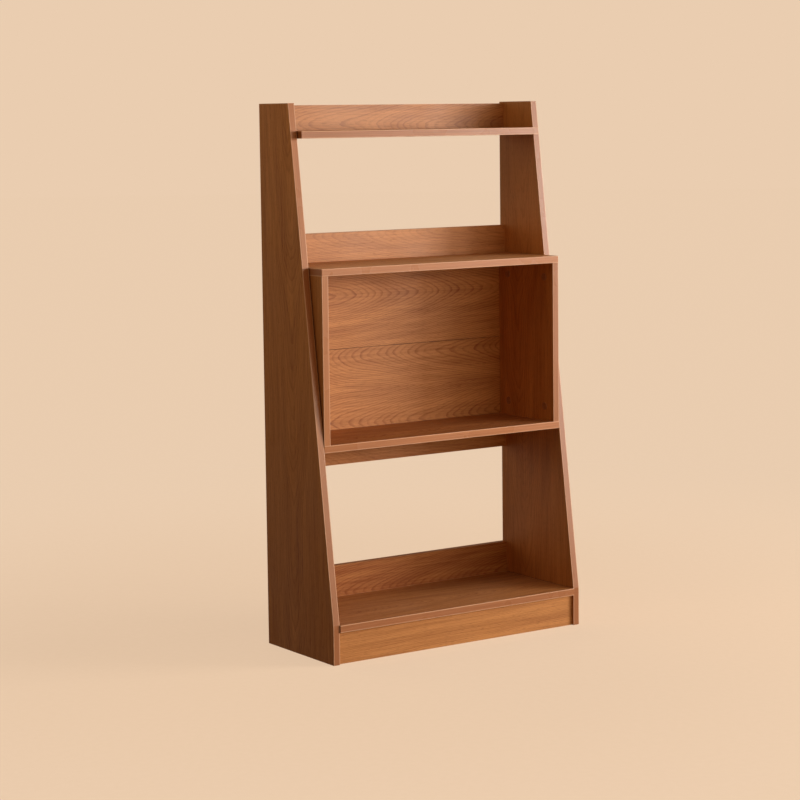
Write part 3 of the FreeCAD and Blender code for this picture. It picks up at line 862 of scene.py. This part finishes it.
def draw_cam(mesh):
    """Cam with a chamfered rim, a dished face and a cross recess. Its face is at zero, looking up."""
    profile = [(CAM_RADIUS, -CAM_HEIGHT),
               (CAM_RADIUS, -CAM_RIM),
               (CAM_RADIUS - CAM_RIM / 2, 0.0),
               (CAM_RADIUS - 2 * CAM_RIM, 0.0),
               (CAM_RADIUS - 3 * CAM_RIM, -CAM_DISH)]
    dish_edge = turned(mesh, profile)
    mouth = drive_outline(mesh, -CAM_DISH)
    floor = drive_outline(mesh, -CAM_DISH - DRIVE_DEPTH, DRIVE_DRAFT)
    edges = loop_edges(mesh, dish_edge) + loop_edges(mesh, mouth)
    bmesh.ops.triangle_fill(mesh, use_beauty=True, edges=edges)
    bridge(mesh, floor, mouth)
    mesh.faces.new(floor)


# Cam cover

COVER_RADIUS = 8.5 * MM
COVER_THICKNESS = 1.2 * MM
COVER_LIP = 1.0 * MM
COVER_LIP_STEPS = 5
COVER_RIM_RADIUS = 6.5 * MM
COVER_DISH_RADIUS = 6.1 * MM
COVER_DISH = 0.42 * MM
COVER_CROWN_RADIUS = 3.5 * MM
COVER_CROWN_DROP = 0.24 * MM


def draw_cover(mesh):
    """Cover with a rounded lip, a shallow dish and a crowned middle. Its top is at zero, looking up."""
    profile = [(COVER_RADIUS, -COVER_THICKNESS)]
    for step in range(COVER_LIP_STEPS + 1):
        turn = math.pi / 2 * step / COVER_LIP_STEPS
        radius = COVER_RADIUS - COVER_LIP * (1 - math.cos(turn))
        profile.append((radius, -COVER_LIP * (1 - math.sin(turn))))
    profile += [(COVER_RIM_RADIUS, 0.0),
                (COVER_DISH_RADIUS, -COVER_DISH),
                (COVER_CROWN_RADIUS, -COVER_CROWN_DROP)]
    mesh.faces.new(turned(mesh, profile))


# Pieces

def copies(draw, places, name):
    """One mesh of equal copies, one at each place."""
    whole = bmesh.new()
    for place in places:
        copy = bmesh.new()
        draw(copy)
        bmesh.ops.recalc_face_normals(copy, faces=copy.faces)
        copy.transform(place)
        scratch = bpy.data.meshes.new("copy")
        copy.to_mesh(scratch)
        copy.free()
        whole.from_mesh(scratch)
        bpy.data.meshes.remove(scratch)
    mesh = bpy.data.meshes.new(name)
    whole.to_mesh(mesh)
    whole.free()
    return mesh


def stand_for(name, node, draw, places, finish):
    """A piece of many equal copies that stands for a node of the solids."""
    mesh = copies(draw, places, name)
    mesh.materials.append(finish)
    mesh.shade_smooth()
    mesh.set_sharp_from_angle(angle=SHARP_ANGLE)
    piece = bpy.data.objects.new(name, mesh)
    bpy.context.scene.collection.objects.link(piece)
    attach(piece, BODY)
    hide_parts(node)


def dress(node, finish):
    """Gives a node of the solids its finish."""
    materials = nodes[node].data.materials
    materials.clear()
    materials.append(finish)


for board, oak in OAK_BOARDS.items():
    dress(board, oak_facing(board, oak))
for strip, band in BANDS.items():
    dress(strip, band_facing(strip, band))

zinc = cast_zinc()
dress(HIDDEN_CAMS, zinc)
for cams, way in CAM_FACES.items():
    cam_places = [looking(face_middle(points, way), way) for points in solids_of(cams)]
    stand_for(cams.replace("cams", "cam_heads"), cams, draw_cam, cam_places, zinc)

cover_places = []
for points in solids_of(COVERS):
    inwards = Vector((-math.copysign(1, points[0].x), 0, 0))
    cover_places.append(looking(face_middle(points, inwards), inwards))
stand_for("box_wall_covers", COVERS, draw_cover, cover_places, moulded_cover())

steel = plated_steel()
beech = bare_beech()
for node in nodes:
    if node.endswith("_cam_bolts"):
        dress(node, steel)
    if node.endswith("_dowels"):
        dress(node, beech)


# Floor

FLOOR_RADIUS = 30.0
FLOOR_STEPS = 96
FLOOR_LEVEL = -0.2 * MM
PAPER_FIBRE_WAVES = even_waves(60.0)
PAPER_FIBRE_SHARE = 0.08
# Distances from the middle between which the floor turns from lit paper to an even background
FADE_START = 0.6
FADE_END = 2.6
SHADOW_SHARE = 0.35
# Stands in for the light that low lamps don't give the floor
NEAR_GLOW = 1.25


def shown_to_camera(tree):
    """1 for rays that show the background: straight from the camera, mirrored or through glass."""
    path = tree.nodes.new("ShaderNodeLightPath").outputs
    seen = calc(tree, "MAXIMUM", path["Is Camera Ray"], path["Is Glossy Ray"])
    return calc(tree, "MAXIMUM", seen, path["Is Transmission Ray"])


def from_middle(tree, point):
    """Distance of a point from the middle of the floor."""
    node = tree.nodes.new("ShaderNodeVectorMath")
    node.operation = "LENGTH"
    feed(tree, node.inputs[0], point)
    return node.outputs["Value"]


def paper_floor():
    """Pale paper that takes the object's shadow, turns even further out and is open from below."""
    material, tree, shader, point = new_material("paper_floor")
    tree.nodes.remove(shader)
    fibre = noise(tree, point, PAPER_FIBRE_WAVES, detail=FINE_DETAIL)
    tone = mix(tree, spread(tree, fibre, 0.0, PAPER_FIBRE_SHARE), PAPER, PAPER_FIBRE)
    seen = shown_to_camera(tree)
    distance = from_middle(tree, point)
    lit = tree.nodes.new("ShaderNodeBsdfDiffuse")
    feed(tree, lit.inputs["Color"], mix(tree, seen, PAPER_BOUNCE, tone))
    even = tree.nodes.new("ShaderNodeEmission")
    feed(tree, even.inputs["Color"], tone)
    feed(tree, even.inputs["Strength"], remap(tree, distance, FADE_START, FADE_END, NEAR_GLOW, 1.0))
    even_share = remap(tree, distance, FADE_START, FADE_END, 1 - SHADOW_SHARE, 1.0)
    paper = blend(tree, calc(tree, "MULTIPLY", even_share, seen), lit.outputs[0], even.outputs[0])
    from_below = tree.nodes.new("ShaderNodeNewGeometry").outputs["Backfacing"]
    nothing = tree.nodes.new("ShaderNodeBsdfTransparent").outputs[0]
    surface = blend(tree, from_below, paper, nothing)
    feed(tree, tree.nodes["Material Output"].inputs["Surface"], surface)
    return material


def lay_floor():
    """A wide disc of paper under the bookshelf, just clear of its feet."""
    mesh = bmesh.new()
    mesh.faces.new(circle(mesh, FLOOR_RADIUS, FLOOR_LEVEL, FLOOR_STEPS))
    data = bpy.data.meshes.new("floor")
    mesh.to_mesh(data)
    mesh.free()
    data.materials.append(paper_floor())
    floor = bpy.data.objects.new("floor", data)
    bpy.context.scene.collection.objects.link(floor)


# Light

AMBIENT = 0.05
AMBIENT_COLOUR = (1.0, 0.75, 0.45, 1.0)
# Extra glow of the world straight behind the object, and how far round to the rear it begins
BACKDROP = 1.5
BACKDROP_START = 0.45

# Azimuth turns from the front towards +X. Angles are in degrees, distance and size in metres,
# power in watts.
Lamp = namedtuple("Lamp", "azimuth elevation distance size power colour")

LAMPS = {
    "key_lamp": Lamp(58, 6.5, 7.0, (2.6, 1.6), 455, (1.0, 0.98, 0.95)),
    "sheen_lamp": Lamp(43, 19, 2.6, (0.5, 0.9), 8.8, (1.0, 0.99, 0.97)),
    "front_lamp": Lamp(24, 6, 6.0, (4.8, 2.0), 105, (1.0, 0.86, 0.68)),
    "front_fill_lamp": Lamp(-15, 5, 5.0, (3.0, 2.0), 28, (1.0, 0.62, 0.28)),
    "left_fill_lamp": Lamp(-80, 42, 1.8, (1.0, 1.0), 3.8, (1.0, 0.76, 0.46)),
}
LAMP_TARGET = (solid_box[0] + solid_box[1]) / 2


def fill_world():
    """Soft light from all round and from a backdrop at the rear, seen as the same paper as the floor."""
    world = bpy.data.worlds.new("studio")
    bpy.context.scene.world = world
    world.use_nodes = True
    tree = world.node_tree
    ambient = tree.nodes["Background"]
    ambient.inputs["Color"].default_value = AMBIENT_COLOUR
    rearwards = split(tree, tree.nodes.new("ShaderNodeTexCoord").outputs["Generated"])["Y"]
    glow = remap(tree, rearwards, BACKDROP_START, 1.0, AMBIENT, AMBIENT + BACKDROP)
    feed(tree, ambient.inputs["Strength"], glow)
    paper = tree.nodes.new("ShaderNodeBackground")
    paper.inputs["Color"].default_value = paint(PAPER)
    surface = blend(tree, shown_to_camera(tree), ambient.outputs[0], paper.outputs[0])
    feed(tree, tree.nodes["World Output"].inputs["Surface"], surface)


def hang_lamp(name, lamp):
    """A flat lamp aimed at the middle of the bookshelf."""
    turn = math.radians(lamp.azimuth)
    climb = math.radians(lamp.elevation)
    level = Vector((math.sin(turn), -math.cos(turn), 0))
    way = level * math.cos(climb) + UP * math.sin(climb)
    light = bpy.data.lights.new(name, "AREA")
    light.shape = "RECTANGLE"
    light.size, light.size_y = lamp.size
    light.energy = lamp.power
    light.color = lamp.colour
    holder = bpy.data.objects.new(name, light)
    bpy.context.scene.collection.objects.link(holder)
    holder.location = LAMP_TARGET + way * lamp.distance
    holder.rotation_euler = (-way).to_track_quat("-Z", "Y").to_euler()


lay_floor()
fill_world()
for name, lamp in LAMPS.items():
    hang_lamp(name, lamp)


# Camera, at the photograph's place and angle

CAMERA_PLACE = Vector((-2.916, -4.2025, 1.172))
CAMERA_YAW = math.radians(34.167)
CAMERA_PITCH = math.radians(5.851)
CAMERA_ROLL = math.radians(-0.706)
LENS_MM = 103.2255
SENSOR_MM = 36.0
VERTICAL_SHIFT = -0.0625


def set_camera():
    """Stands the camera where the photograph was taken from."""
    data = bpy.data.cameras.new("camera")
    data.sensor_width = SENSOR_MM
    data.lens = LENS_MM
    data.shift_y = VERTICAL_SHIFT
    camera = bpy.data.objects.new("camera", data)
    bpy.context.scene.collection.objects.link(camera)
    turn = Matrix.Rotation(-CAMERA_YAW, 4, "Z")
    tilt = Matrix.Rotation(math.radians(90) - CAMERA_PITCH, 4, "X")
    roll = Matrix.Rotation(CAMERA_ROLL, 4, "Z")
    camera.matrix_world = Matrix.Translation(CAMERA_PLACE) @ turn @ tilt @ roll
    bpy.context.scene.camera = camera


set_camera()
bpy.context.scene.view_settings.view_transform = "Standard"
